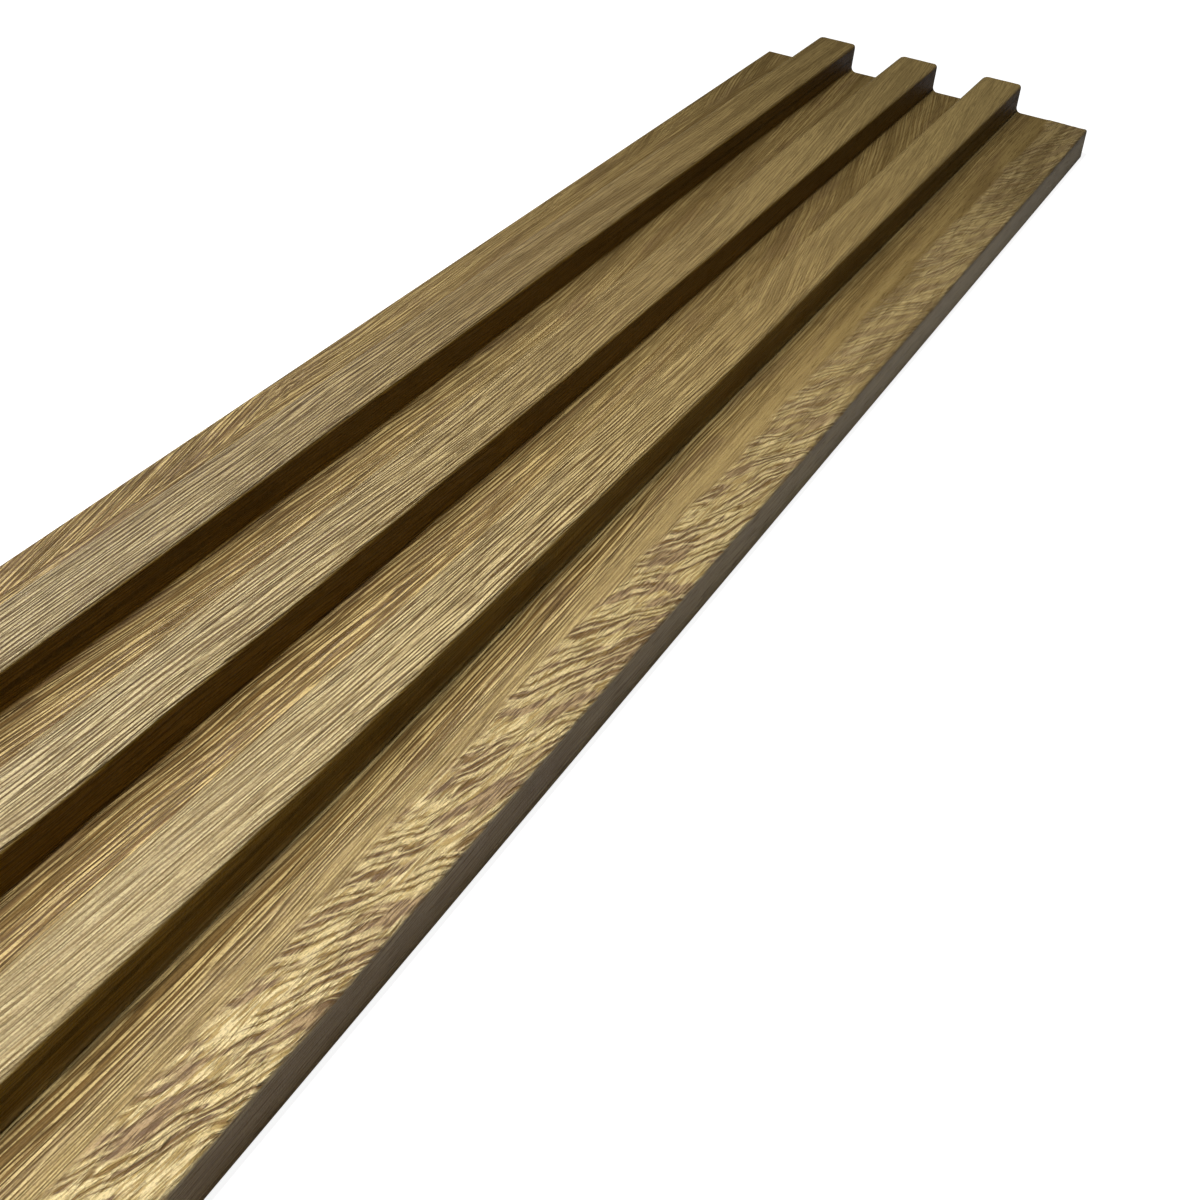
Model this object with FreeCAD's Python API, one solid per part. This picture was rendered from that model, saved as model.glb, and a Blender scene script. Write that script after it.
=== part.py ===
"""Ribbed wall panel: one solid extrusion that lies face up on its flat back.

The panel is a single board with three raised ribs. Its section is drawn once in
the XZ plane, with every corner rounded to its own radius, and is then extruded
along Y. Sizes are in millimetres.

Frame: X runs across the ribs, Y along them, and Z up out of the face. The origin
is the middle of the flat back.
"""

import FreeCAD
import Part

import math
import os

# Panel
LENGTH = 600.0
BASE_THICKNESS = 10.4

# Ribs and the flat bands beside them, from the left edge to the right one
RIB_COUNT = 3
RIB_WIDTH = 14.8
RIB_HEIGHT = 9.8
VALLEY_WIDTH = 16.2
LEFT_BAND = 17.6
RIGHT_BAND = 26.0

# Rounded corners of the section. Each rib is softer on its left crest than on its right one
LEFT_CREST_RADIUS = 2.8
RIGHT_CREST_RADIUS = 1.2
RIB_ROOT_RADIUS = 1.8
FACE_EDGE_RADIUS = 0.9
BACK_EDGE_RADIUS = 0.5

# Shallow glue grooves in the back, which run the whole length
GROOVE_PITCH = 10.0
GROOVE_MOUTH = 3.0
GROOVE_FLOOR = 1.8
GROOVE_DEPTH = 0.8
GROOVE_LIP_RADIUS = 0.25
PLAIN_BACK_EDGE = 10.0

# A rounding takes at most this share of the shorter of the two sides it joins
ROUNDING_SHARE = 0.48

# Places that follow from the sizes above
PANEL_WIDTH = LEFT_BAND + RIB_COUNT * RIB_WIDTH + (RIB_COUNT - 1) * VALLEY_WIDTH + RIGHT_BAND
LEFT_EDGE_X = -PANEL_WIDTH / 2
RIGHT_EDGE_X = PANEL_WIDTH / 2
RIB_PITCH = RIB_WIDTH + VALLEY_WIDTH
FIRST_RIB_X = LEFT_EDGE_X + LEFT_BAND
CREST_Z = BASE_THICKNESS + RIB_HEIGHT
GROOVE_COUNT = max(0, int((PANEL_WIDTH - 2 * PLAIN_BACK_EDGE) / GROOVE_PITCH))


def back_corners():
    """Corners along the back, from left to right: (x, z, radius)."""
    corners = [(LEFT_EDGE_X, 0.0, BACK_EDGE_RADIUS)]
    for index in range(GROOVE_COUNT):
        middle = (index - (GROOVE_COUNT - 1) / 2) * GROOVE_PITCH
        corners.append((middle - GROOVE_MOUTH / 2, 0.0, GROOVE_LIP_RADIUS))
        corners.append((middle - GROOVE_FLOOR / 2, GROOVE_DEPTH, GROOVE_LIP_RADIUS))
        corners.append((middle + GROOVE_FLOOR / 2, GROOVE_DEPTH, GROOVE_LIP_RADIUS))
        corners.append((middle + GROOVE_MOUTH / 2, 0.0, GROOVE_LIP_RADIUS))
    corners.append((RIGHT_EDGE_X, 0.0, BACK_EDGE_RADIUS))
    return corners


def face_corners():
    """Corners along the ribbed face, from right to left: (x, z, radius)."""
    corners = [(RIGHT_EDGE_X, BASE_THICKNESS, FACE_EDGE_RADIUS)]
    for index in reversed(range(RIB_COUNT)):
        left = FIRST_RIB_X + index * RIB_PITCH
        right = left + RIB_WIDTH
        corners.append((right, BASE_THICKNESS, RIB_ROOT_RADIUS))
        corners.append((right, CREST_Z, RIGHT_CREST_RADIUS))
        corners.append((left, CREST_Z, LEFT_CREST_RADIUS))
        corners.append((left, BASE_THICKNESS, RIB_ROOT_RADIUS))
    corners.append((LEFT_EDGE_X, BASE_THICKNESS, FACE_EDGE_RADIUS))
    return corners


def rounded_corner(before, corner, after):
    """Start, middle and end of the arc that rounds one corner of an outline."""
    point = FreeCAD.Vector(corner[0], 0.0, corner[1])
    to_before = FreeCAD.Vector(before[0], 0.0, before[1]) - point
    to_after = FreeCAD.Vector(after[0], 0.0, after[1]) - point
    room = ROUNDING_SHARE * min(to_before.Length, to_after.Length)
    to_before.normalize()
    to_after.normalize()
    half_angle = to_before.getAngle(to_after) / 2
    setback = min(corner[2] / math.tan(half_angle), room)
    radius = setback * math.tan(half_angle)
    inward = (to_before + to_after).normalize()
    middle = point + inward * (radius / math.sin(half_angle) - radius)
    return point + to_before * setback, middle, point + to_after * setback


def rounded_outline(corners):
    """Closed wire of straight sides and tangent arcs through the given corners."""
    arcs = []
    for index, corner in enumerate(corners):
        before = corners[index - 1]
        after = corners[(index + 1) % len(corners)]
        arcs.append(rounded_corner(before, corner, after))
    edges = []
    for index, (start, middle, end) in enumerate(arcs):
        next_start = arcs[(index + 1) % len(arcs)][0]
        edges.append(Part.Arc(start, middle, end).toShape())
        edges.append(Part.LineSegment(end, next_start).toShape())
    return Part.Wire(edges)


def slat_panel():
    """The whole panel: its rounded section, extruded along Y about the origin."""
    section = Part.Face(rounded_outline(back_corners() + face_corners()))
    panel = section.extrude(FreeCAD.Vector(0.0, LENGTH, 0.0))
    panel.translate(FreeCAD.Vector(0.0, -LENGTH / 2, 0.0))
    return panel


def main():
    """Build the panel, report its size and write it as a STEP file."""
    panel = slat_panel()
    box = panel.BoundBox
    print(f"panel {box.XLength:.2f} x {box.YLength:.2f} x {box.ZLength:.2f} mm")
    print(f"{GROOVE_COUNT} glue grooves, volume {panel.Volume / 1000:.1f} cm3, valid {panel.isValid()}")
    os.makedirs("parts", exist_ok=True)
    panel.exportStep("parts/slat_panel.step")


main()
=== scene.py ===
# %% [markdown]
# # A ribbed wall panel in wood-grain film
#
# The real panel is one moulded board. Its face carries three raised ribs, and a thin embossed film that
# looks like rustic oak is wrapped round its face and edges. Only the back and the two sawn ends show the
# bare core.
#
# The solid model gives the size and place of everything. This script adds what a solid can't hold: the
# film's printed and embossed grain, the core's own texture, the light and the camera. All lengths are in
# metres, and the grain is worked out in millimetres, because its lines are less than a millimetre apart.

import math

import bpy
import numpy as np
from mathutils import Matrix, Vector


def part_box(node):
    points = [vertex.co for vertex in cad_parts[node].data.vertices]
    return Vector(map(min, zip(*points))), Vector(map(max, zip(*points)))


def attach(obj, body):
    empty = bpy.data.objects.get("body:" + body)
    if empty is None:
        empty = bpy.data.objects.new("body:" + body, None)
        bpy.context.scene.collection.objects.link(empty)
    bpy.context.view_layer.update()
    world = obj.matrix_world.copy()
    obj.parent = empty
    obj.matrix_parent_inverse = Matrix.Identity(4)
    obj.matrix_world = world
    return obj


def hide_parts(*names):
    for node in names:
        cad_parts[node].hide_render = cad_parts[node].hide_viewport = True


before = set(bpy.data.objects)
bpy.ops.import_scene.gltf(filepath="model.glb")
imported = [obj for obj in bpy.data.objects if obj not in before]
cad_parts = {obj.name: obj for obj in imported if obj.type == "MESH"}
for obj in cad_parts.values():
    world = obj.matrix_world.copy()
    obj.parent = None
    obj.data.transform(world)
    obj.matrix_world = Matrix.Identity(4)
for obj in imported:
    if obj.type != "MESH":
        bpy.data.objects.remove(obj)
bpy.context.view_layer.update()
PANEL_LOW, PANEL_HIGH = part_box("slat_panel")
MM = 0.001
print("panel size in mm:", [round(size / MM, 1) for size in PANEL_HIGH - PANEL_LOW])

# %% [markdown]
# The camera comes first. The photographer stood near one end and to the right, and looked down along the
# ribs, with the camera's right side tilted up a little. A lens of 61 mm on a 36 mm sensor gives the
# photograph's strong convergence. The camera is aimed at a spot on the face and then rolled about its own
# line of sight.

# %% Camera
CAMERA_PLACE = Vector((0.1733, -0.4073, 0.2352))
CAMERA_AIM = Vector((0.0461, -0.0756, 0.0104))
CAMERA_ROLL = math.radians(7.4)
CAMERA_LENS = 61.2
CAMERA_SENSOR = 36.0
NEAREST_SEEN = 0.01

camera = bpy.data.objects.new("camera", bpy.data.cameras.new("camera"))
bpy.context.scene.collection.objects.link(camera)
aimed = (CAMERA_AIM - CAMERA_PLACE).to_track_quat("-Z", "Y").to_matrix().to_4x4()
camera.matrix_world = Matrix.Translation(CAMERA_PLACE) @ aimed @ Matrix.Rotation(CAMERA_ROLL, 4, "Z")
camera.data.lens = CAMERA_LENS
camera.data.sensor_width = CAMERA_SENSOR
camera.data.clip_start = NEAREST_SEEN
bpy.context.scene.camera = camera
print("camera stands", round((CAMERA_AIM - CAMERA_PLACE).length, 3), "m from the spot it looks at")

# %% [markdown]
# The section of the panel is straight runs joined by round corners. Three ribs have rounded crests, and a
# hollow cove at each foot, because a film can't be pressed into a sharp corner. The solid's own mesh could
# be dressed instead, but its few long triangles hold neither relief nor grain, so the surface is built
# anew. The sizes are those of the solid. Heights and the overall width are read from it, and the places of
# the ribs follow from the widths of the bands, from left to right.

# %% Sizes of the section
RIB_COUNT = 3
RIB_WIDTH = 14.8 * MM
RIB_HEIGHT = 9.8 * MM
VALLEY_WIDTH = 16.2 * MM
LEFT_BAND = 17.6 * MM
LEFT_CREST_RADIUS = 2.8 * MM
RIGHT_CREST_RADIUS = 1.2 * MM
ROOT_RADIUS = 1.8 * MM
FACE_EDGE_RADIUS = 0.9 * MM
BACK_EDGE_RADIUS = 0.5 * MM

LEFT_X, RIGHT_X = PANEL_LOW.x, PANEL_HIGH.x
NEAR_Y, FAR_Y = PANEL_LOW.y, PANEL_HIGH.y
CREST_Z = PANEL_HIGH.z
FACE_Z = CREST_Z - RIB_HEIGHT
RIB_PITCH = RIB_WIDTH + VALLEY_WIDTH
FIRST_RIB_X = LEFT_X + LEFT_BAND
THIRD_WALL_X = FIRST_RIB_X + 2 * RIB_PITCH + RIB_WIDTH
print("the third rib's right wall is at x =", round(THIRD_WALL_X / MM, 1), "mm")

# %% [markdown]
# The film starts a few millimetres in on the back, goes up the left edge, over the ribs, down the right
# edge and back under. Its surface is sampled in short steps: fine ones along the right edge, where the
# embossing is deepest, and wider ones elsewhere.

# %% Corners of the film
FILM_FOLD = 6.0 * MM
FIGURED_WIDTH = 13.4 * MM
PLAIN_STEP = 1.3 * MM
FIGURED_STEP = 0.45 * MM
FIGURE_X = RIGHT_X - FIGURED_WIDTH


def film_corners():
    """The film's outline as corners: x, z, rounding radius, and the sampling step of the run after it."""
    corners = [(LEFT_X + FILM_FOLD, 0.0, 0.0, PLAIN_STEP)]
    corners.append((LEFT_X, 0.0, BACK_EDGE_RADIUS, PLAIN_STEP))
    corners.append((LEFT_X, FACE_Z, FACE_EDGE_RADIUS, PLAIN_STEP))
    for index in range(RIB_COUNT):
        left = FIRST_RIB_X + index * RIB_PITCH
        right = left + RIB_WIDTH
        corners.append((left, FACE_Z, ROOT_RADIUS, PLAIN_STEP))
        corners.append((left, CREST_Z, LEFT_CREST_RADIUS, PLAIN_STEP))
        corners.append((right, CREST_Z, RIGHT_CREST_RADIUS, PLAIN_STEP))
        corners.append((right, FACE_Z, ROOT_RADIUS, PLAIN_STEP))
    corners.append((FIGURE_X, FACE_Z, 0.0, FIGURED_STEP))
    corners.append((RIGHT_X, FACE_Z, FACE_EDGE_RADIUS, PLAIN_STEP))
    corners.append((RIGHT_X, 0.0, BACK_EDGE_RADIUS, PLAIN_STEP))
    corners.append((RIGHT_X - FILM_FOLD, 0.0, 0.0, PLAIN_STEP))
    return corners


print("film outline has", len(film_corners()), "corners before rounding")

# %% [markdown]
# Each corner is rounded by an arc that touches both of its straight runs. The arc starts one setback before
# the corner, where the setback is the radius times the tangent of half the turn. The walk also gives the
# outward direction at each point, a quarter turn to the left of the way that it goes, because relief is
# added along it. A Bevel modifier could round the corners too, but only a walk knows how far round it has
# come, and the print needs that.

# %% Walk round the section
ARC_STEPS = 5


def turned_left(way):
    """A quarter turn to the left: (x, z) becomes (-z, x)."""
    return np.array([-way[1], way[0]])


def walk(corners):
    """Places and outward directions along an open outline of straight runs and arcs, both as (n, 2) arrays.
    A point on an arc is: centre + radius * (outward direction), with the direction turning evenly."""
    spots = np.array([corner[:2] for corner in corners])
    ways = np.diff(spots, axis=0)
    lengths = np.linalg.norm(ways, axis=1)
    ways = ways / lengths[:, None]
    places, outward = [], []
    leaving = 0.0
    for index, way in enumerate(ways):
        last = index == len(ways) - 1
        onward = way if last else ways[index + 1]
        turn = math.atan2(way[0] * onward[1] - way[1] * onward[0], way @ onward)
        radius = corners[index + 1][2]
        setback = radius * math.tan(abs(turn) / 2)
        run = lengths[index] - leaving - setback
        count = max(1, math.ceil(run / corners[index][3]))
        along = leaving + run * np.arange(count)[:, None] / count
        places.append(spots[index] + along * way)
        outward.append(np.repeat(turned_left(way)[None], count, axis=0))
        leaving = setback
        if setback > 0:
            side = math.copysign(1.0, turn)
            centre = spots[index + 1] - setback * way + side * radius * turned_left(way)
            angle = math.atan2(*turned_left(way)[::-1]) + turn * np.arange(ARC_STEPS) / ARC_STEPS
            spokes = np.stack([np.cos(angle), np.sin(angle)], axis=1)
            places.append(centre - side * radius * spokes)
            outward.append(spokes)
    places.append(spots[-1:])
    outward.append(turned_left(ways[-1])[None])
    return np.concatenate(places), np.concatenate(outward)


film_places, film_outward = walk(film_corners())
film_run = np.concatenate([[0.0], np.cumsum(np.linalg.norm(np.diff(film_places, axis=0), axis=1))])
print("film is", round(film_run[-1] / MM, 1), "mm wide when laid flat, in", len(film_run), "columns")

# %% [markdown]
# Wood grain is many long thin lines, so it is noise that is stretched along the length. Random heights on a
# lattice of whole numbers are blended smoothly between, and layers of finer and lower noise are added up.
# Blender's own noise nodes draw the finest lines later. The relief and the masks belong to the mesh, so
# their noise is worked out here.

# %% Noise
LATTICE = 257
LAYER_SHIFT = 7.3
LAYER_GAIN = 1.5


def smooth_noise(x, y, seed):
    """Noise from -1 to 1: lattice heights, blended between by t * t * (3 - 2 t) in each direction."""
    heights = np.random.default_rng(seed).uniform(-1, 1, (LATTICE, LATTICE))
    x, y = np.broadcast_arrays(x, y)
    column, row = np.floor(x).astype(int), np.floor(y).astype(int)
    across, up = x - column, y - row
    across, up = across * across * (3 - 2 * across), up * up * (3 - 2 * up)
    left, right = column % LATTICE, (column + 1) % LATTICE
    low, high = row % LATTICE, (row + 1) % LATTICE
    lower = heights[left, low] * (1 - across) + heights[right, low] * across
    upper = heights[left, high] * (1 - across) + heights[right, high] * across
    return lower * (1 - up) + upper * up


def layered_noise(x, y, seed, layers=3):
    """Sum of layers, each twice as fine and half as high as the one before, scaled back to about -1 to 1."""
    heights = [0.5**n for n in range(layers)]
    shifts = [LAYER_SHIFT * n for n in range(layers)]
    total = sum(h * smooth_noise(x * 2**n + shifts[n], y * 2**n, seed + n) for n, h in enumerate(heights))
    return total / sum(heights) * LAYER_GAIN


def smooth_step(low, high, value):
    """0 below low, 1 above high, and an S curve between."""
    t = np.clip((value - low) / (high - low), 0.0, 1.0)
    return t * t * (3 - 2 * t)


print("noise repeats after", LATTICE, "lattice cells")

# %% [markdown]
# The film is laid flat for its print: one coordinate across (distance walked round the section) and one
# along. Four kinds of line share it. Most lines run straight along the ribs and drift by a millimetre or
# two. In some places they slant by about ten degrees, as the sides of a cathedral arch do. Along the right
# edge the print turns to rustic figure: strands leave the straight grain and sweep out to the edge at
# twenty to twenty-five degrees, with short strokes on them that run nearly straight. Each kind gets its own
# pair of coordinates, in millimetres across its lines and along them, and masks say where it shows. The
# material draws its fine lines on those coordinates. A picture of wood could be laid on the film instead,
# but lines that are worked out stay crisp however near the camera comes.

# %% Flat film coordinates
LENGTH_STEP = 1.5 * MM

row_y = np.linspace(NEAR_Y, FAR_Y, 1 + round((FAR_Y - NEAR_Y) / LENGTH_STEP))
flat_across = (film_run / MM)[:, None] + 0 * row_y
flat_along = (row_y / MM)[None, :] + 0 * film_run[:, None]


def flat_place(x, z):
    """Distance walked round the film, in mm, at the point of the section nearest to (x, z)."""
    return film_run[np.argmin(np.hypot(film_places[:, 0] - x, film_places[:, 1] - z))] / MM


FIGURE_START = flat_place(FIGURE_X, FACE_Z)
LEFT_EDGE = flat_place(LEFT_X, FACE_Z)
SECOND_RIB = flat_place(FIRST_RIB_X + RIB_PITCH, CREST_Z)
THIRD_RIB_END = flat_place(THIRD_WALL_X, CREST_Z)
print("rustic figure starts", round(FIGURE_START, 1), "mm across the flat film")

# %% Masks and noise on the flat film


def right_of(start, end):
    """A mask: 0 left of start and 1 right of end, both in mm across the flat film."""
    return smooth_step(start, end, flat_across)


def beyond(start, end):
    """A mask: 0 nearer than start and 1 farther than end, both in mm from the middle of the length."""
    return smooth_step(start, end, flat_along)


def film_noise(wide, long, seed):
    """Two layers of noise on the flat film, in patches this many mm wide and long."""
    return layered_noise(flat_across / wide, flat_along / long, seed, 2)


print("flat film has", flat_across.size, "points")

# %% Straight lines
NEAR_LEAN = 0.050
FAR_LEAN = 0.075
LEAN_DRIFT = 0.030
RIB_WAVE = 0.4
VALLEY_WAVE = 0.1
WALL_MIDDLE = FACE_Z + RIB_HEIGHT / 2
FIRST_WALL = flat_place(FIRST_RIB_X + RIB_WIDTH, WALL_MIDDLE)
THIRD_WALL = flat_place(THIRD_WALL_X, WALL_MIDDLE)


def follow_lean(lean):
    """Distance across that stays the same along a line: distance across, less the lean added up row by row
    from the middle."""
    shift = np.cumsum(lean, axis=1) * LENGTH_STEP / MM
    return flat_across - (shift - shift[:, [len(row_y) // 2]])


middle = (flat_across > FIRST_WALL) & (flat_across < THIRD_WALL)
lean = NEAR_LEAN * middle * (1 - beyond(-150, 20)) - FAR_LEAN * middle * beyond(10, 110)
lean = lean + LEAN_DRIFT * film_noise(24, 80, seed=11)
in_valley = 1 - smooth_step(FACE_Z / MM + 1, FACE_Z / MM + 3, film_places[:, 1] / MM)[:, None]
waves = (RIB_WAVE + VALLEY_WAVE * in_valley) * film_noise(5, 40, seed=17)
straight_across = follow_lean(lean) + waves
print("straight lines lean by up to", round(math.degrees(math.atan(float(abs(lean).max()))), 1), "degrees")

# %% Slanted lines
SLANT = 0.20
SLANT_DRIFT = 0.04
SLANT_WAVE = 0.4

slant_lean = -SLANT + SLANT_DRIFT * film_noise(40, 70, seed=23)
slanted_across = follow_lean(slant_lean) + SLANT_WAVE * smooth_noise(flat_across / 6, flat_along / 30, 29)
far_arch = right_of(SECOND_RIB + 12, SECOND_RIB + 26) * (1 - right_of(THIRD_RIB_END - 8, THIRD_RIB_END + 8))
far_arch = far_arch * beyond(10, 100)
left_figure = 1 - right_of(LEFT_EDGE + 4, LEFT_EDGE + 12)
patchy = 1 + 0.5 * film_noise(10, 70, seed=31)
slanted = smooth_step(0.55, 0.95, np.maximum(far_arch, 0.8 * left_figure) * patchy)
print("slanted grain covers", round(100 * float(slanted.mean())), "% of the film")

# %% Rustic strands along the right edge
NEAR_REACH = 36
FAR_REACH = 28
SWEEP_START = 1.2
SWEEP_POWER = 1.2

out = flat_across - FIGURE_START
width = FIGURED_WIDTH / MM
reach = NEAR_REACH - (NEAR_REACH - FAR_REACH) * beyond(-230, -150)
reach = reach + 8 * smooth_noise(flat_along / 60, 0 * out, 41)
reach = reach + 4 * smooth_noise(flat_along / 19, 0 * out, 42)
sweep = reach * (np.clip(out + SWEEP_START, 0.05, None) / width) ** SWEEP_POWER
strand_across = flat_along - sweep + 1.4 * layered_noise(flat_along / 9, out / 4, 43, 2)
rustic = smooth_step(-0.6, 0.8, out + 0.9 * smooth_noise(flat_along / 9, 0 * out, 53))
rustic = rustic * (1 - smooth_step(width - 0.4, width + 0.8, out))
bundle = layered_noise(strand_across / 5.5, out / 9, 47, 2)
print("strands sweep", round(float(reach.min())), "to", round(float(reach.max())), "mm along as they cross")

# %% Coordinates of the strands and strokes
STRAND_SLOPE = 0.35
STROKE_SLOPE = 0.10
ROPE_PITCH = 1.5

strand_grain = np.stack([STRAND_SLOPE * strand_across, out / STRAND_SLOPE, 0 * out], axis=-1)
rope_turns = 2 * math.pi * STRAND_SLOPE * strand_across / ROPE_PITCH
stroke_across = out - STROKE_SLOPE * flat_along + 0.5 * layered_noise(flat_along / 11, out / 3, 44, 2)
stroke_grain = np.stack([stroke_across, flat_along, 0 * out], axis=-1)
print("ropes lie about", ROPE_PITCH, "mm apart")

# %% [markdown]
# The film isn't one even colour. Its near part is paler, with bold lines: the bold lines are print, and the
# paleness is a painted sheen. The left ribs and the near end get a painted shade. Its far part is duller and
# calmer, with painted light on the far ribs and painted shade in the far valleys. The valleys are browner
# than the ribs, by their own print and by painted shade, a pale stripe runs beside the rustic figure, and
# the right edge has painted shade near and painted light far off. The finish could be split into many
# materials, but their borders would show. So it is one finish that reads masks: each says, from 0 to 1, how
# much of one tint a place takes, or how strongly its lines show. A mask is made of soft steps across the
# film and along it.

# %% Broad tones of the print
tone = layered_noise(straight_across / 5, flat_along / 170, 61, 3)
mauve = smooth_step(0.20, 0.80, layered_noise(straight_across / 2.6, flat_along / 26, 67, 2))
mauve = mauve * (0.1 + 0.9 * in_valley)
pale = np.exp(-(((out + 2.2) / 1.7) ** 2))
print("mauve streaks cover", round(100 * float(mauve.mean())), "% of the film")

# %% Parts of the face
on_rib = 1 - in_valley
third_rib = on_rib * right_of(THIRD_RIB_END - 22, THIRD_RIB_END - 16)
left_band = 1 - right_of(LEFT_EDGE + 14, LEFT_EDGE + 18)
inner_band = right_of(THIRD_WALL + 8, THIRD_WALL + 14) * (1 - rustic)
on_edge = smooth_step(width, width + 1, out)
near_share = 1 - beyond(-140, 20)
near_fade = 1 - beyond(-240, 60)
far_share = beyond(-90, 100)
print("the near part is", round(100 * float(near_share.mean())), "% of the film")

# %% How strongly the lines show
calm = inner_band * beyond(-130, 10)
bold = 1.15 + 0.05 * in_valley - 0.6 * on_edge - 0.15 * inner_band - 0.60 * calm
bold = bold * (1 - 0.66 * far_share)
bold = bold * (1 - 0.32 * on_rib * (1 - beyond(-230, -130)))
bold = bold * (1 - 0.40 * third_rib * (1 - beyond(-230, -60)))
banded = 0.5 + (1.0 + 0.7 * near_share) * in_valley - 0.7 * on_edge - 1.6 * inner_band
banded = banded * (1 - 0.6 * far_share)
figured = 1.0 - 0.6 * beyond(-100, 120)
print("fine lines keep", round(float(bold.min()), 2), "to", round(float(bold.max()), 2), "of their contrast")

# %% Where each tint lies: painted sheen, painted shade and painted light
x_mm = film_places[:, 0] / MM
# How much painted light the far ribs take: more on the ribs to the right.
rib_share = 0.25 + 0.5 * smooth_step(-27, -14, x_mm) + 0.25 * smooth_step(5, 18, x_mm)

# Painted sheen: light lines turn paler on the ribs, and a little beside the figure, fading towards the far
# end.
paler = (on_rib + 0.45 * (inner_band + rustic)) * near_fade
# Painted shade: darker towards the left edge and the near end, fading out far off, and less in the valleys.
deeper = (1 - right_of(LEFT_EDGE, THIRD_RIB_END)) * (1 - beyond(60, 220)) * (1 - 0.65 * in_valley)
# Painted shade in the valleys of the near part.
near_valley = in_valley * (1 - rustic) * near_share
# Painted shade on the right edge towards the near end, and painted light on it farther off.
near_edge = on_edge * near_fade
far_edge = on_edge * beyond(-60, 220)
# Painted light: the far part of the ribs is moved towards a lighter gold.
far_rib = rib_share[:, None] * on_rib * beyond(-20, 290)
# Painted shade: the far valleys are moved towards a darker brown.
far_valley = in_valley * (1 - 0.6 * left_band) * (1 - rustic) * (1 - on_edge)
far_valley = far_valley * beyond(-70, 120) * (1 + 0.6 * inner_band)
print("the far valleys' tint reaches", round(float(far_valley.max()), 2), "at most")

# %% [markdown]
# The sides of the ribs that face right get no direct light, so they look a plain warm brown, and that
# brown is also painted on them as shade. At the foot of the third one the light comes back gradually: the
# cove is given a painted light, a little lighter, and the flat beside it a painted shade, a little darker,
# than the lamps alone would leave them. A lamp hung for that would light the rest of the panel too, so the
# film's colour does it.

# %% Painted shade on the rib sides, painted light and shade at the third rib's foot
COVE_HEIGHT = 2.2 * MM
EDGE_ZONE = 2.0 * MM
low_down = film_places[:, 1] < FACE_Z + COVE_HEIGHT
from_foot = abs(film_places[:, 0] - THIRD_WALL_X) / MM
faces_right = film_outward[:, 0]


def all_along(values):
    """One value for each column of the film, repeated along its whole length."""
    return values[:, None] + 0 * flat_along


# Painted light: the cove at the third rib's foot is made lighter.
foot = low_down * (1 - smooth_step(0.4, 0.9, from_foot)) * (1 - 0.75 * smooth_step(0.96, 1.0, faces_right))
# Painted shade on the flat beside the third rib's foot.
foot_shade = low_down * np.exp(-(((from_foot - 1.0) / 1.5) ** 2)) * (1 - foot)
# Painted shade: the sides that face right, away from the edges, take a dark warm brown.
sides = smooth_step(0.85, 1.0, abs(faces_right)) * (abs(film_places[:, 0]) < RIGHT_X - EDGE_ZONE)
print("sides take", int((sides > 0.5).sum()), "columns of the film")

# %% [markdown]
# The film is a thin closed sheet. Its outer side is a grid: every point of the walk is carried along the
# length and then moved out by the relief of the rustic ridges. The inner side is the same walk, moved in by
# the film's thickness, and needs only its two ends. Rims close the sheet all round, so the mesh is
# watertight. A Solidify modifier would do it too, but it would give the hidden inner side as many faces as
# the outer one has.
#
# Each corner of each face also gets a place on a square sheet, its UV, so that the finish can be painted
# there.

# %% Mesh helpers


def grid_quads(rows, columns):
    """Corner numbers of the quads of a grid stored row by row, going round from a row to the next one."""
    corner = (np.arange(rows - 1)[:, None] * columns + np.arange(columns - 1)[None, :]).ravel()
    return np.stack([corner, corner + columns, corner + columns + 1, corner + 1], axis=1)


def strip_quads(one, other):
    """Quads between two rows of vertex numbers that run side by side."""
    return np.stack([one[:-1], other[:-1], other[1:], one[1:]], axis=1)


def sheet_place(across, along, left, right, low, high):
    """Shares from 0 to 1 across and along, laid into a rectangle of the UV square."""
    return np.stack([left + (right - left) * across, low + (high - low) * along], axis=-1)


def panel_mesh(name, vertices, patches, sharp_from=50.0, directions=None):
    """A mesh from places and patches. A patch is its faces and a UV for every vertex, used by its own
    corners. Directions, where given, are the outward ones at the corners of the first patch."""
    faces = [face for quads, uv in patches for face in np.array(quads).tolist()]
    corner_uv = np.concatenate([uv[np.array(quads).ravel()] for quads, uv in patches])
    mesh = bpy.data.meshes.new(name)
    mesh.from_pydata(vertices.tolist(), [], faces)
    mesh.polygons.foreach_set("use_smooth", np.ones(len(mesh.polygons), bool))
    mesh.set_sharp_from_angle(angle=math.radians(sharp_from))
    sheet = mesh.uv_layers.new(name="OFBake")
    sheet.uv.foreach_set("vector", corner_uv.ravel())
    if directions is not None:
        known = directions[np.array(patches[0][0]).ravel()]
        others = np.zeros((len(mesh.loops) - len(known), 3))
        mesh.normals_split_custom_set(np.concatenate([known, others]).tolist())
    mesh.update()
    thing = bpy.data.objects.new(name, mesh)
    bpy.context.scene.collection.objects.link(thing)
    return thing


print("mesh helpers are ready")

# %% Film surface
FILM_THICKNESS = 0.25 * MM
RELIEF = 0.14 * MM
RELIEF_FROM = 0.4 * FACE_Z
STRAND_SHARE = 0.7
TONE_SHARE = 0.15

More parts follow.
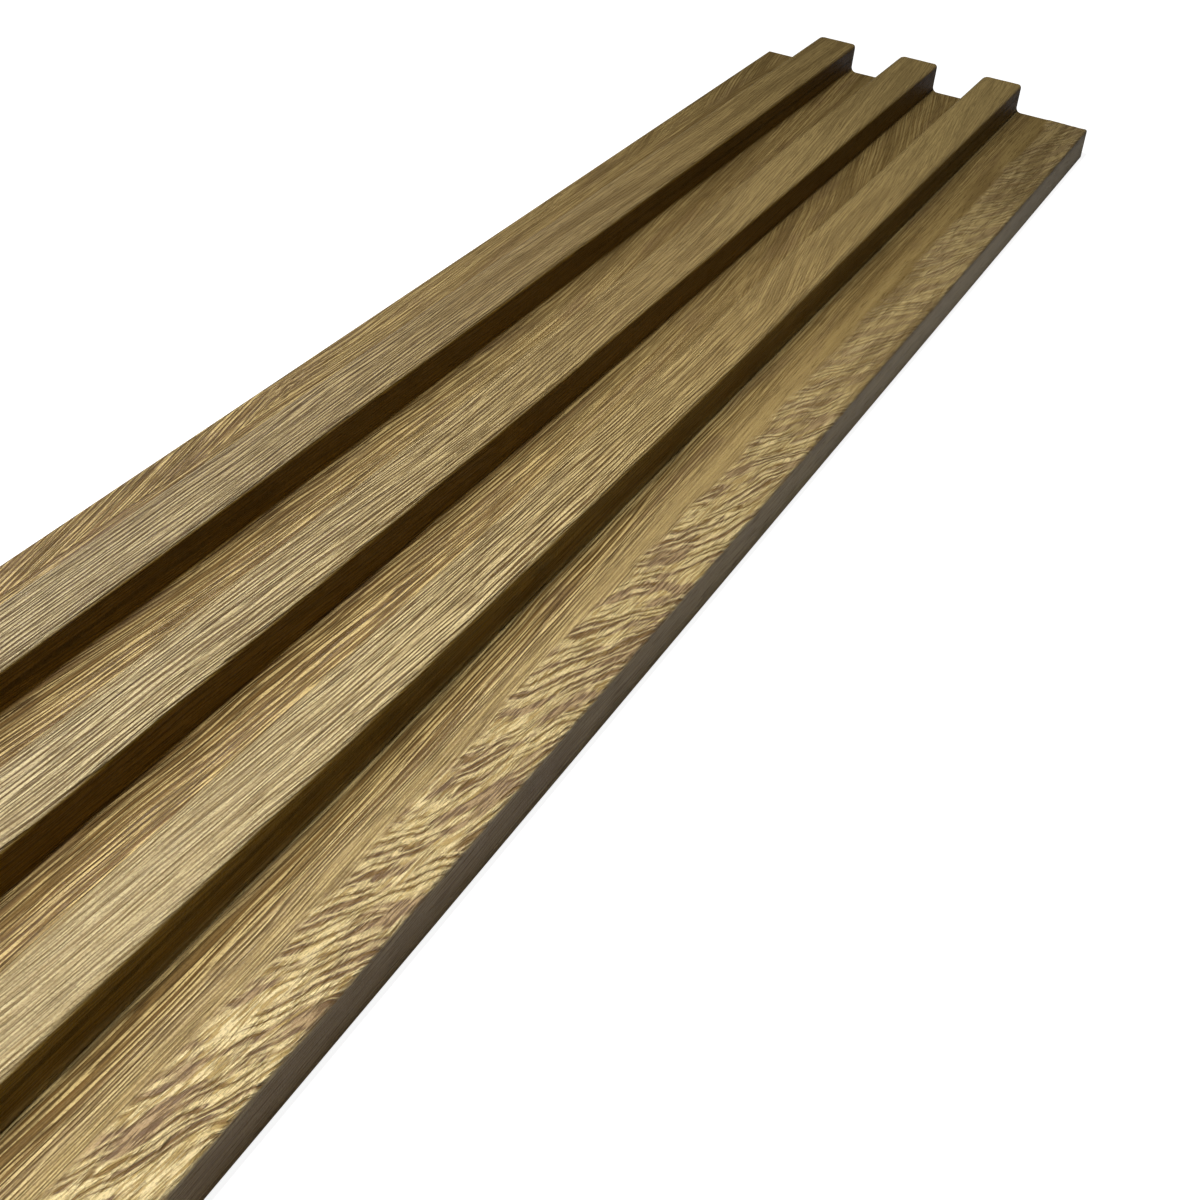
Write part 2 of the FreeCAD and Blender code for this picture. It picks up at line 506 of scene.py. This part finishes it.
on_face = (film_places[:, 1] > RELIEF_FROM)[:, None]
relief = RELIEF * on_face * (STRAND_SHARE * rustic * bundle + TONE_SHARE * tone * (1 - rustic))
columns, rows = len(film_run), len(row_y)
outer_xz = film_places[:, None, :] + film_outward[:, None, :] * relief[:, :, None]
outer = np.stack([outer_xz[..., 0], np.broadcast_to(row_y, relief.shape), outer_xz[..., 1]], axis=-1)
inner_xz = film_places - film_outward * FILM_THICKNESS
inner = np.stack([np.insert(inner_xz, 1, end, axis=1) for end in (NEAR_Y, FAR_Y)])
film_vertices = np.concatenate([outer.reshape(-1, 3), inner.reshape(-1, 3)])
print("film has", len(film_vertices), "vertices, with", round(float(relief.max()) / MM, 2), "mm of relief")

# %% Outward directions of the film
way = np.stack([film_outward[:, 1], 0 * film_run, -film_outward[:, 0]], axis=-1)
out_way = np.stack([film_outward[:, 0], 0 * film_run, film_outward[:, 1]], axis=-1)
rise_across, rise_along = np.gradient(relief, film_run, row_y)
facing = out_way[:, None] - rise_across[..., None] * way[:, None] - rise_along[..., None] * [0.0, 1.0, 0.0]
facing /= np.linalg.norm(facing, axis=-1, keepdims=True)
print("the relief slopes by", round(float(abs(rise_across).max()), 2), "at most")

# %% Film faces
MAIN_PART = (0.005, 0.955)
number = np.arange(columns * rows).reshape(columns, rows)
near_inner = columns * rows + np.arange(columns)
far_inner = near_inner + columns
run_share = film_run / film_run[-1]
length_share = (row_y - NEAR_Y) / (FAR_Y - NEAR_Y)
across = np.concatenate([np.repeat(run_share, rows), run_share, run_share])
along = np.concatenate([np.tile(length_share, columns), np.zeros(columns), np.ones(columns)])
deep = np.repeat([0.0, 1.0], [columns * rows, 2 * columns])

film_patches = [(grid_quads(columns, rows), sheet_place(across, along, *MAIN_PART, *MAIN_PART))]
inside = sheet_place(across, along, 0.960, 0.970, *MAIN_PART)
film_patches.append((strip_quads(near_inner, far_inner), inside))
near_rim = sheet_place(across, deep, *MAIN_PART, 0.960, 0.970)
film_patches.append((strip_quads(number[:, 0], near_inner), near_rim))
far_rim = sheet_place(across, deep, *MAIN_PART, 0.975, 0.985)
film_patches.append((strip_quads(far_inner, number[:, -1]), far_rim))
left_rim = sheet_place(deep, along, 0.975, 0.980, *MAIN_PART)
film_patches.append(([[*number[0], far_inner[0], near_inner[0]]], left_rim))
right_rim = sheet_place(deep, along, 0.985, 0.990, *MAIN_PART)
film_patches.append(([[*number[-1, ::-1], near_inner[-1], far_inner[-1]]], right_rim))
film = panel_mesh("decor_film", film_vertices, film_patches, directions=facing.reshape(-1, 3))
film_triangles = sum(len(face.vertices) - 2 for face in film.data.polygons)
print("film is", round(FILM_THICKNESS / MM, 2), "mm thick, in", film_triangles, "triangles")

# %% [markdown]
# The material needs the grain coordinates and the masks at every point of the film, so they are kept on the
# mesh as attributes. UV maps could hold the coordinates, but attributes hold the masks as well. The inner
# side takes the values of its own two ends.

# %% Grain attributes


def keep_on_film(name, grid):
    """Store a grid of values (columns, rows) on the film's points, with the inner side's ends after it."""
    grid = np.asarray(grid, float)
    ends = [grid[:, end].reshape(columns, -1) for end in (0, -1)]
    values = np.concatenate([grid.reshape(columns * rows, -1), *ends])
    kind, key = ("FLOAT_VECTOR", "vector") if values.shape[1] == 3 else ("FLOAT", "value")
    film.data.attributes.new(name, kind, "POINT").data.foreach_set(key, values.ravel())


keep_on_film("straight_grain", np.stack([straight_across, flat_along, 0 * flat_along], axis=-1))
keep_on_film("slanted_grain", np.stack([slanted_across, flat_along, 0 * flat_along], axis=-1))
keep_on_film("strand_grain", strand_grain)
keep_on_film("stroke_grain", stroke_grain)
keep_on_film("rope_turns", rope_turns)

film_masks = dict(slanted=slanted, rustic=rustic, mauve=mauve, pale=pale, deeper=deeper, bold=bold)
film_masks.update(banded=banded, sides=all_along(sides), paler=paler, near_valley=near_valley)
film_masks.update(near_edge=near_edge, far_edge=far_edge, far_valley=far_valley, far_rib=far_rib)
film_masks.update(far_share=far_share, foot=all_along(foot), foot_shade=all_along(foot_shade))
film_masks.update(figured=figured)
for mask_name, mask in film_masks.items():
    keep_on_film(mask_name, mask)
print("film keeps", len(film.data.attributes), "attributes,", len(film_masks), "of them masks")

# %% [markdown]
# The core is extruded wood flour and plastic. It fills the film from the inside, shows between the two
# folds on the back, where ten shallow grooves key the glue, and shows on the two sawn ends. It is one
# closed solid: an outline carried straight from end to end, with a flat cap on each. Nothing changes along
# its length, so two rings of points are enough.

# %% Core outline
GROOVE_COUNT = 10
GROOVE_PITCH = 10.0 * MM
GROOVE_MOUTH = 3.0 * MM
GROOVE_FLOOR = 1.8 * MM
GROOVE_DEPTH = 0.8 * MM

groove_centres = GROOVE_PITCH * (np.arange(GROOVE_COUNT)[::-1] - (GROOVE_COUNT - 1) / 2)
groove_shape = np.array([[GROOVE_MOUTH / 2, 0], [GROOVE_FLOOR / 2, GROOVE_DEPTH],
                         [-GROOVE_FLOOR / 2, GROOVE_DEPTH], [-GROOVE_MOUTH / 2, 0]])
grooves = (groove_centres[:, None, None] * [1.0, 0.0] + groove_shape).reshape(-1, 2)
film_ends = np.array([[RIGHT_X - FILM_FOLD, 0.0], [LEFT_X + FILM_FOLD, 0.0]])
core_outline = np.concatenate([inner_xz, film_ends[:1], grooves, film_ends[1:]])
core_run = np.concatenate([[0.0], np.cumsum(np.linalg.norm(np.diff(core_outline, axis=0), axis=1))])
print("core outline has", len(core_outline), "points and", GROOVE_COUNT, "grooves")

# %% Core surface
count = len(core_outline)
core_vertices = np.concatenate([np.insert(core_outline, 1, end, axis=1) for end in (NEAR_Y, FAR_Y)])
around = np.append(np.arange(count), 0)
core_share = np.tile(core_run / (core_run[-1] + FILM_THICKNESS), 2)
core_length = np.repeat([0.0, 1.0], count)
side_uv = sheet_place(core_share, core_length, 0.005, 0.995, 0.005, 0.600)
closing_uv = sheet_place((core_share > 0.5) * 1.0, core_length, 0.996, 0.998, 0.005, 0.600)
flat_x = (core_vertices[:, 0] - LEFT_X) / (RIGHT_X - LEFT_X)
flat_z = core_vertices[:, 2] / CREST_Z
near_cap = sheet_place(flat_x, flat_z, 0.005, 0.995, 0.620, 0.785)
far_cap = sheet_place(flat_x, flat_z, 0.005, 0.995, 0.805, 0.970)

side_quads = strip_quads(around + count, around)
core_patches = [(side_quads[:-1], side_uv), (side_quads[-1:], closing_uv)]
core_patches.append(([np.arange(count)[::-1]], near_cap))
core_patches.append(([np.arange(count) + count], far_cap))
core = panel_mesh("panel_core", core_vertices, core_patches, sharp_from=30.0)
print("core has", len(core.data.polygons), "faces")

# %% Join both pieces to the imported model
for piece, finish in ((film, "wood_grain_film"), (core, "panel_core")):
    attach(piece, "root")
    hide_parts("slat_panel")
    print(piece.name, "rides on root and replaces slat_panel")

# %% [markdown]
# Finishes are built from nodes. A few helpers keep that short: one adds a node and fills its inputs, and
# others make the steps that wood needs, which are stretched noise, a soft threshold, and a blend of two
# colours.

# %% Finish helpers


def as_light(red, green, blue):
    """A colour given as screen values from 0 to 255, as the linear amounts that Blender's sockets want."""
    shares = np.array([red, green, blue]) / 255
    linear = np.where(shares <= 0.04045, shares / 12.92, ((shares + 0.055) / 1.055) ** 2.4)
    return (*linear.tolist(), 1.0)


def new_finish(name):
    """A new material, its node tree and its surface shader."""
    finish = bpy.data.materials.new(name)
    finish.use_nodes = True
    return finish, finish.node_tree, finish.node_tree.nodes["Principled BSDF"]


def join(tree, value, socket):
    """Put a number or colour on a socket, or link another node's output to it."""
    if isinstance(value, bpy.types.NodeSocket):
        tree.links.new(value, socket)
    else:
        socket.default_value = value


def sums(tree, operation, first, second=0.0, third=0.0):
    """One arithmetic step on numbers."""
    made = tree.nodes.new("ShaderNodeMath")
    made.operation = operation
    for value, socket in zip((first, second, third), made.inputs):
        join(tree, value, socket)
    return made.outputs[0]


def kept(tree, name, output="Fac"):
    """A value that was kept on the mesh."""
    made = tree.nodes.new("ShaderNodeAttribute")
    made.attribute_name = name
    return made.outputs[output]


print("helpers for numbers are ready")

# %% Pattern helpers


def stretched_noise(tree, place, across, along, layers=1.0, roughness=0.5, shift=0.0):
    """Noise from 0 to 1 with this many cells per mm across and along the grain, shifted by some cells."""
    scaled = tree.nodes.new("ShaderNodeVectorMath")
    scaled.operation = "MULTIPLY_ADD"
    join(tree, place, scaled.inputs[0])
    scaled.inputs[1].default_value = (across, along, 0.0)
    scaled.inputs[2].default_value = (shift, 0.0, 0.0)
    made = tree.nodes.new("ShaderNodeTexNoise")
    made.noise_dimensions = "2D"
    join(tree, scaled.outputs[0], made.inputs["Vector"])
    for socket, value in (("Scale", 1.0), ("Detail", layers), ("Roughness", roughness)):
        made.inputs[socket].default_value = value
    return made.outputs[0]


def soft_step(tree, value, low, high):
    """0 below low, 1 above high, and an S curve between."""
    made = tree.nodes.new("ShaderNodeMapRange")
    made.interpolation_type = "SMOOTHSTEP"
    join(tree, value, made.inputs["Value"])
    made.inputs["From Min"].default_value = low
    made.inputs["From Max"].default_value = high
    return made.outputs[0]


def blend(tree, share, first, second, kind="RGBA"):
    """First where the share is 0, second where it is 1. Kind is RGBA for colours and FLOAT for numbers."""
    made = tree.nodes.new("ShaderNodeMix")
    made.data_type = kind
    place = 6 if kind == "RGBA" else 2
    join(tree, share, made.inputs[0])
    join(tree, first, made.inputs[place])
    join(tree, second, made.inputs[place + 1])
    return made.outputs[2 if kind == "RGBA" else 0]


def opposite(tree, share):
    """1 less the share."""
    return sums(tree, "SUBTRACT", 1.0, share)


print("helpers for patterns and colours are ready")

# %% [markdown]
# Oak print under a matt embossed film: gold summer wood, brown lines less than a millimetre apart, longer
# dark furrows, short pores and broad streaks. Each pattern is noise stretched along the grain, given as
# cells per millimetre across the grain and along it, and then sharpened to lines by a soft threshold. The
# lines are the same noise for the colour and for the relief, because the embossing rollers follow the
# print. A Wave texture could draw lines too, but they would lie too evenly for oak.

# %% Film finish: coordinates and masks
finish, tree, shader = new_finish("oak_grain_film")
straight = kept(tree, "straight_grain", "Vector")
slant = kept(tree, "slanted_grain", "Vector")
strand = kept(tree, "strand_grain", "Vector")
stroke = kept(tree, "stroke_grain", "Vector")
is_slanted, is_rustic = kept(tree, "slanted"), kept(tree, "rustic")
bold_share, far_part = kept(tree, "bold"), kept(tree, "far_share")


def on_both(across, along, layers, roughness, shift=0.0):
    """The same stretched noise on the straight and on the slanted lines, each where it shows."""
    upright_lines = stretched_noise(tree, straight, across, along, layers, roughness, shift)
    leaning_lines = stretched_noise(tree, slant, across, along, layers, roughness, shift)
    return blend(tree, is_slanted, upright_lines, leaning_lines, "FLOAT")


def side_by_side(across, along, shift=0.5):
    """Light and dark lines that keep close company: noise less the same noise half a cell on, plus 0.5."""
    here, farther = on_both(across, along, 1.0, 0.5), on_both(across, along, 1.0, 0.5, shift)
    return sums(tree, "ADD", sums(tree, "SUBTRACT", here, farther), 0.5)


def softened(value, share):
    """The same pattern with less contrast where the share is low: 0.5 + (value - 0.5) * share."""
    return sums(tree, "MULTIPLY_ADD", sums(tree, "SUBTRACT", value, 0.5), share, 0.5)


print("film tree has", len(tree.nodes), "nodes so far")

# %% Film finish: lines
FINE_LINES = (1.9, 0.040)
LINE_GROUPS = (1.05, 0.012)
STROKE_LINES = (2.2, 0.14)
BROAD_STREAKS = (0.30, 0.006)
DIM_STREAKS = (0.24, 0.010)

plain_lines = soft_step(tree, side_by_side(*FINE_LINES), 0.36, 0.56)
stroke_lines = soft_step(tree, stretched_noise(tree, stroke, *STROKE_LINES), 0.40, 0.58)
lines = softened(blend(tree, is_rustic, plain_lines, stroke_lines, "FLOAT"), bold_share)
groups = softened(soft_step(tree, side_by_side(*LINE_GROUPS), 0.36, 0.58), kept(tree, "banded"))
broad = soft_step(tree, on_both(*BROAD_STREAKS, 2.0, 0.5), 0.35, 0.65)
dim_figure = opposite(tree, soft_step(tree, on_both(*DIM_STREAKS, 2.0, 0.6), 0.36, 0.58))
print("fine lines are about", round(1 / FINE_LINES[0], 2), "mm wide")

# %% Film finish: furrows, flecks and pores
FURROWS = (0.60, 0.011)
FLECKS = (3.8, 1.4)
PORES = (3.0, 0.11)

near_half = sums(tree, "ABSOLUTE", sums(tree, "SUBTRACT", on_both(*FURROWS, 2.0, 0.6), 0.5))
furrows = sums(tree, "MULTIPLY", opposite(tree, soft_step(tree, near_half, 0.004, 0.026)), bold_share)
plain_furrows = sums(tree, "MULTIPLY", furrows, opposite(tree, is_rustic))
speckle = stretched_noise(tree, straight, *FLECKS)
near_flecks = soft_step(tree, speckle, 0.50, 0.68)
near_flecks = sums(tree, "MULTIPLY", near_flecks, sums(tree, "MULTIPLY_ADD", far_part, -0.8, 1.0))
pores = soft_step(tree, stretched_noise(tree, straight, *PORES), 0.60, 0.72)
print("pores are about", round(1 / PORES[1]), "mm long")

# %% [markdown]
# On the rustic edge the film looks as if thin ropes lay side by side on it: each strand has a crisp light
# ridge and a dark groove beside it. Noise alone gives soft blots here. So the ropes are a sine wave across
# the strands, which noise pushes to and fro so that no two are alike, and a second noise lets them fade in
# and out in patches. Each rope is relief, and also a painted highlight on its ridge and a painted shadow in
# its groove. Under them, wide ridges and mauve hollows follow the same strands.

# %% Film finish: rustic ridges and ropes
RIDGES = (0.42, 0.045)
STROKE_CUTS = (1.3, 0.12)
ROPE_BENDS = (0.35, 0.06)
ROPE_PATCHES = (0.16, 0.06)
ROPE_PUSH = 14.0

cuts = sums(tree, "SUBTRACT", stretched_noise(tree, stroke, *STROKE_CUTS, 2.0, 0.55), 0.5)
bundles = stretched_noise(tree, strand, *RIDGES)
ridges = soft_step(tree, sums(tree, "MULTIPLY_ADD", cuts, 0.32, bundles), 0.42, 0.55)
bends = stretched_noise(tree, strand, *ROPE_BENDS, 2.0, 0.5)
ropes = sums(tree, "SINE", sums(tree, "MULTIPLY_ADD", bends, ROPE_PUSH, kept(tree, "rope_turns")))
rope_patch = soft_step(tree, stretched_noise(tree, strand, *ROPE_PATCHES, 1.0, 0.5, 5.0), 0.36, 0.56)
rope_fade = sums(tree, "MULTIPLY_ADD", soft_step(tree, far_part, 0.4, 1.0), -0.58, 1.0)
rope_share = sums(tree, "MULTIPLY", sums(tree, "MULTIPLY", rope_patch, rope_fade), is_rustic)
# Painted highlight on the rope ridges and painted shadow in their grooves; both also go into the relief.
light_rope = sums(tree, "MULTIPLY", soft_step(tree, ropes, 0.20, 0.90), rope_share)
dark_rope = sums(tree, "MULTIPLY", soft_step(tree, ropes, -0.50, -0.96), rope_share)
print("film tree has", len(tree.nodes), "nodes so far")

# %% [markdown]
# The colour starts as light and dark lines, paler where a painted sheen lies, and is then moved towards one
# tint after another, each by a share of its own: groups of lines, streaks and pores first, and the painted
# highlights and shadows of the ropes. Then come a figure in the far part, painted shade on the left and near
# parts and in the valleys, painted light on the far ribs, painted shade on the sides of the ribs, painted
# light and shade at the third rib's foot, and painted shade and light on the right edge.

# %% Film finish: wood colours
light_line = as_light(218, 191, 127)
dark_line = as_light(88, 66, 32)
# The colour of light lines under the painted sheen.
pale_line = as_light(232, 214, 163)
group_brown = as_light(116, 86, 42)
golden = as_light(160, 134, 78)
mauve_brown = as_light(120, 95, 70)
pale_gold = as_light(196, 170, 110)
ridge_dark = as_light(172, 146, 90)
ridge_gold = as_light(208, 185, 126)
# The colour of the figure's ridges under the painted sheen.
ridge_pale = as_light(230, 212, 168)
hollow_dark = as_light(112, 88, 62)
hollow_light = as_light(166, 140, 101)
# The colour of the painted highlight on the ropes.
rope_gold = as_light(228, 205, 148)


def tinted(colour, tint, share, amount):
    """A colour moved towards a tint by a share of an amount."""
    return blend(tree, sums(tree, "MULTIPLY", share, amount), colour, tint)


# Painted sheen: light lines turn paler where its mask is high.
pale_share = kept(tree, "paler")
wood = blend(tree, lines, dark_line, blend(tree, pale_share, light_line, pale_line))
wood = tinted(wood, group_brown, opposite(tree, groups), 0.55)
wood = tinted(wood, golden, broad, 0.14)
wood = tinted(wood, mauve_brown, kept(tree, "mauve"), 0.35)
wood = tinted(wood, pale_gold, kept(tree, "pale"), 0.50)
ridge_wood = blend(tree, lines, ridge_dark, blend(tree, pale_share, ridge_gold, ridge_pale))
hollow_wood = blend(tree, lines, hollow_dark, hollow_light)
rustic_wood = blend(tree, softened(ridges, kept(tree, "figured")), hollow_wood, ridge_wood)
wood = blend(tree, is_rustic, wood, rustic_wood)
# Painted shadow in the rope grooves, then painted highlight on the rope ridges.
wood = tinted(wood, group_brown, dark_rope, 0.80)
wood = tinted(wood, rope_gold, light_rope, 0.80)
print("film tree has", len(tree.nodes), "nodes so far")

# %% Film finish: tints, with painted shade and painted light
furrow_brown = as_light(84, 62, 32)
pore_brown = as_light(92, 70, 40)
# The colour of the painted shade towards the left and the near end.
shade_grey = as_light(86, 78, 72)
# The colour of the painted shade in the near valleys.
valley_brown = as_light(110, 84, 54)
figure_brown = as_light(104, 82, 46)
# The colour of the painted shade in the far valleys.
far_brown = as_light(104, 78, 22)
# The colour of the painted light on the far ribs.
rib_gold = as_light(222, 194, 128)
# The colour of the painted shade beside the third rib's foot.
foot_brown = as_light(70, 50, 16)
# The colour of the painted light in the cove at the third rib's foot.
foot_gold = as_light(250, 226, 160)
# Colours of the painted shade and the painted light on the right edge.
edge_brown = as_light(108, 80, 42)
edge_grey = as_light(235, 214, 175)
# Painted shade for the sides that face right: a dark warm brown with the fine lines in it.
wall_brown = blend(tree, plain_lines, as_light(115, 87, 0), as_light(140, 106, 0))

wood = tinted(wood, furrow_brown, plain_furrows, 0.50)
wood = tinted(wood, pore_brown, pores, 0.40)
wood = tinted(wood, pore_brown, near_flecks, 0.32)
# Painted shade towards the left and the near end.
wood = tinted(wood, shade_grey, kept(tree, "deeper"), 0.30)
# Painted shade in the near valleys.
wood = tinted(wood, valley_brown, kept(tree, "near_valley"), 0.14)
wood = tinted(wood, figure_brown, sums(tree, "MULTIPLY", dim_figure, far_part), 0.50)
# Painted shade in the far valleys.
wood = tinted(wood, far_brown, kept(tree, "far_valley"), 0.17)
# Painted light on the far ribs.
wood = tinted(wood, rib_gold, kept(tree, "far_rib"), 0.24)
# Painted shade beside the third rib's foot.
wood = tinted(wood, foot_brown, kept(tree, "foot_shade"), 0.30)
# Painted shade on the sides that face right.
wood = tinted(wood, wall_brown, kept(tree, "sides"), 0.97)
# Painted light in the cove at the third rib's foot.
wood = tinted(wood, foot_gold, kept(tree, "foot"), 0.60)
# Painted shade on the near part of the right edge, then painted light on its far part.
wood = tinted(wood, edge_brown, kept(tree, "near_edge"), 0.62)
wood = tinted(wood, edge_grey, kept(tree, "far_edge"), 0.55)
tree.links.new(wood, shader.inputs["Base Color"])
print("film colour is set, with", len(tree.nodes), "nodes")

# %% [markdown]
# Every pattern raises or lowers the film by its own share of one depth. Lines this fine would take
# millions of faces as real relief, so a Bump node only tilts the light on them. A matt film has a broad,
# weak shine, and the pores are a little rougher than the rest.

# %% Film finish: relief and sheen
FILM_BUMP = 0.14 * MM
MATT = 0.42
SHINE = 0.2

strand_height = sums(tree, "MULTIPLY", ridges, is_rustic)
rises = [(pores, -0.6), (plain_furrows, -0.8), (speckle, 0.8)]
rises += [(strand_height, 1.5), (light_rope, 2.0), (dark_rope, -2.0)]
height = lines
for pattern, rise in rises:
    height = sums(tree, "MULTIPLY_ADD", pattern, rise, height)
bump = tree.nodes.new("ShaderNodeBump")
bump.inputs["Strength"].default_value = 1.0
bump.inputs["Distance"].default_value = FILM_BUMP
tree.links.new(height, bump.inputs["Height"])
tree.links.new(bump.outputs["Normal"], shader.inputs["Normal"])
tree.links.new(sums(tree, "MULTIPLY_ADD", pores, 0.15, MATT), shader.inputs["Roughness"])
shader.inputs["Specular IOR Level"].default_value = SHINE
film.data.materials.append(finish)
print("film relief is", round(FILM_BUMP / MM, 3), "mm deep")

# %% [markdown]
# The core's finish is quieter: brown plastic full of pale wood fibres. It reads Object coordinates, because
# it has no direction of its own on the ends. Fine scratches from the saw cross the ends, and drawn lines
# run along the back.

# %% Core finish
CORE_BUMP = 0.05 * MM
finish, tree, shader = new_finish("wood_plastic_core")
spot = tree.nodes.new("ShaderNodeTexCoord").outputs["Object"]


def solid_noise(across, along, up, layers=2.0):
    """Noise from 0 to 1 in space, with this many cells per metre in each direction."""
    scaled = tree.nodes.new("ShaderNodeVectorMath")
    scaled.operation = "MULTIPLY"
    join(tree, spot, scaled.inputs[0])
    scaled.inputs[1].default_value = (across, along, up)
    made = tree.nodes.new("ShaderNodeTexNoise")
    join(tree, scaled.outputs[0], made.inputs["Vector"])
    made.inputs["Scale"].default_value = 1.0
    made.inputs["Detail"].default_value = layers
    return made.outputs[0]


fibres = solid_noise(1500.0, 400.0, 1500.0, 3.0)
cloud = solid_noise(120.0, 60.0, 120.0)
drawn = solid_noise(900.0, 6.0, 900.0)
saw = solid_noise(250.0, 250.0, 2500.0)
plastic_brown = as_light(112, 84, 56)
fibre_tan = as_light(158, 128, 92)
cloud_brown = as_light(124, 92, 60)
plastic = blend(tree, soft_step(tree, fibres, 0.45, 0.68), plastic_brown, fibre_tan)
plastic = blend(tree, sums(tree, "MULTIPLY", soft_step(tree, cloud, 0.35, 0.65), 0.35), plastic, cloud_brown)
tree.links.new(plastic, shader.inputs["Base Color"])
marks = sums(tree, "ADD", sums(tree, "ADD", drawn, saw), sums(tree, "MULTIPLY", fibres, 0.6))
bump = tree.nodes.new("ShaderNodeBump")
bump.inputs["Distance"].default_value = CORE_BUMP
tree.links.new(marks, bump.inputs["Height"])
tree.links.new(bump.outputs["Normal"], shader.inputs["Normal"])
shader.inputs["Roughness"].default_value = 0.62
shader.inputs["Specular IOR Level"].default_value = 0.35
core.data.materials.append(finish)
print("core tree has", len(tree.nodes), "nodes")

# %% [markdown]
# The photograph's light comes from a soft lamp overhead, a little to the left of the ribs, so the sides
# that face right are left in deep shade and only catch light that has bounced off the valleys; their dark
# brown is also a painted shade. The key lamp is narrow across the ribs, which keeps the shadows' borders
# crisp, and long along them. It hangs beyond the near end and is turned away from the panel, so the panel
# fades towards its far end. A weaker lamp, lower and more to the left, rounds off the left crests. The third
# one comes from behind on the left. It skims the embossed lines and gives the film a pale sheen, to which a
# painted sheen on the near part adds.

# %% Lamps


def soft_lamp(name, place, aim, size, power, spread=180.0):
    """A rectangular lamp at a place, facing a spot: size in metres, power in watts, spread in degrees."""
    lamp = bpy.data.objects.new(name, bpy.data.lights.new(name, "AREA"))
    lamp.data.shape = "RECTANGLE"
    lamp.data.size, lamp.data.size_y = size
    lamp.data.energy = power
    lamp.data.spread = math.radians(spread)
    facing = (Vector(aim) - Vector(place)).to_track_quat("-Z", "Y").to_matrix().to_4x4()
    lamp.matrix_world = Matrix.Translation(place) @ facing
    bpy.context.scene.collection.objects.link(lamp)
    print(name, "stands", round((Vector(aim) - Vector(place)).length, 2), "m from the spot it faces")


soft_lamp("key_lamp", (-0.065, -0.60, 1.30), (-0.065, -1.15, 0.0), (0.05, 0.30), 21.5)
soft_lamp("side_lamp", (-0.15, -0.35, 0.80), (0.0, -0.60, 0.0), (0.14, 0.40), 2.8)
soft_lamp("sheen_lamp", (-0.36, 0.35, 0.62), (0.03, -0.30, 0.0), (0.25, 0.25), 0.38, 60.0)

# %% [markdown]
# The backdrop is white to the camera, and its white adds nothing to the light that falls on the panel.
# Mirror rays see it too, but dimmed: a matt film in a white room would get a grey veil, which the real one
# doesn't have. The floor lies a hair below the panel's back.

# %% Floor
FLOOR_HALF = 1.5
FLOOR_Z = -0.2 * MM
floor_mesh = bpy.data.meshes.new("floor")
floor_turns = ((-1, -1), (1, -1), (1, 1), (-1, 1))
floor_corners = [(FLOOR_HALF * x, FLOOR_HALF * y, FLOOR_Z) for x, y in floor_turns]
floor_mesh.from_pydata(floor_corners, [], [(0, 1, 2, 3)])
floor = bpy.data.objects.new("floor", floor_mesh)
bpy.context.scene.collection.objects.link(floor)
print("floor is", 2 * FLOOR_HALF, "m wide")

# %% White floor and backdrop
MIRROR_SHARE = 0.005
FLOOR_GLOW = 0.92


def seen_directly(tree):
    """1 for rays from the camera or through glass, a little for mirror rays, and 0 for bounced light."""
    path = tree.nodes.new("ShaderNodeLightPath")
    clear = sums(tree, "MAXIMUM", path.outputs["Is Camera Ray"], path.outputs["Is Transmission Ray"])
    return sums(tree, "MAXIMUM", clear, sums(tree, "MULTIPLY", path.outputs["Is Glossy Ray"], MIRROR_SHARE))


finish, tree, shader = new_finish("pale_floor")
shader.inputs["Base Color"].default_value = (0.5, 0.5, 0.5, 1.0)
shader.inputs["Roughness"].default_value = 1.0
shader.inputs["Specular IOR Level"].default_value = 0.0
shader.inputs["Emission Color"].default_value = (1.0, 1.0, 1.0, 1.0)
tree.links.new(sums(tree, "MULTIPLY", seen_directly(tree), FLOOR_GLOW), shader.inputs["Emission Strength"])
floor.data.materials.append(finish)

world = bpy.data.worlds.new("white_room")
world.use_nodes = True
bpy.context.scene.world = world
background = world.node_tree.nodes["Background"]
background.inputs["Color"].default_value = (1.0, 1.0, 1.0, 1.0)
world.node_tree.links.new(seen_directly(world.node_tree), background.inputs["Strength"])
bpy.context.scene.view_settings.view_transform = "Standard"
print("the backdrop gives mirror rays", MIRROR_SHARE, "of its white")
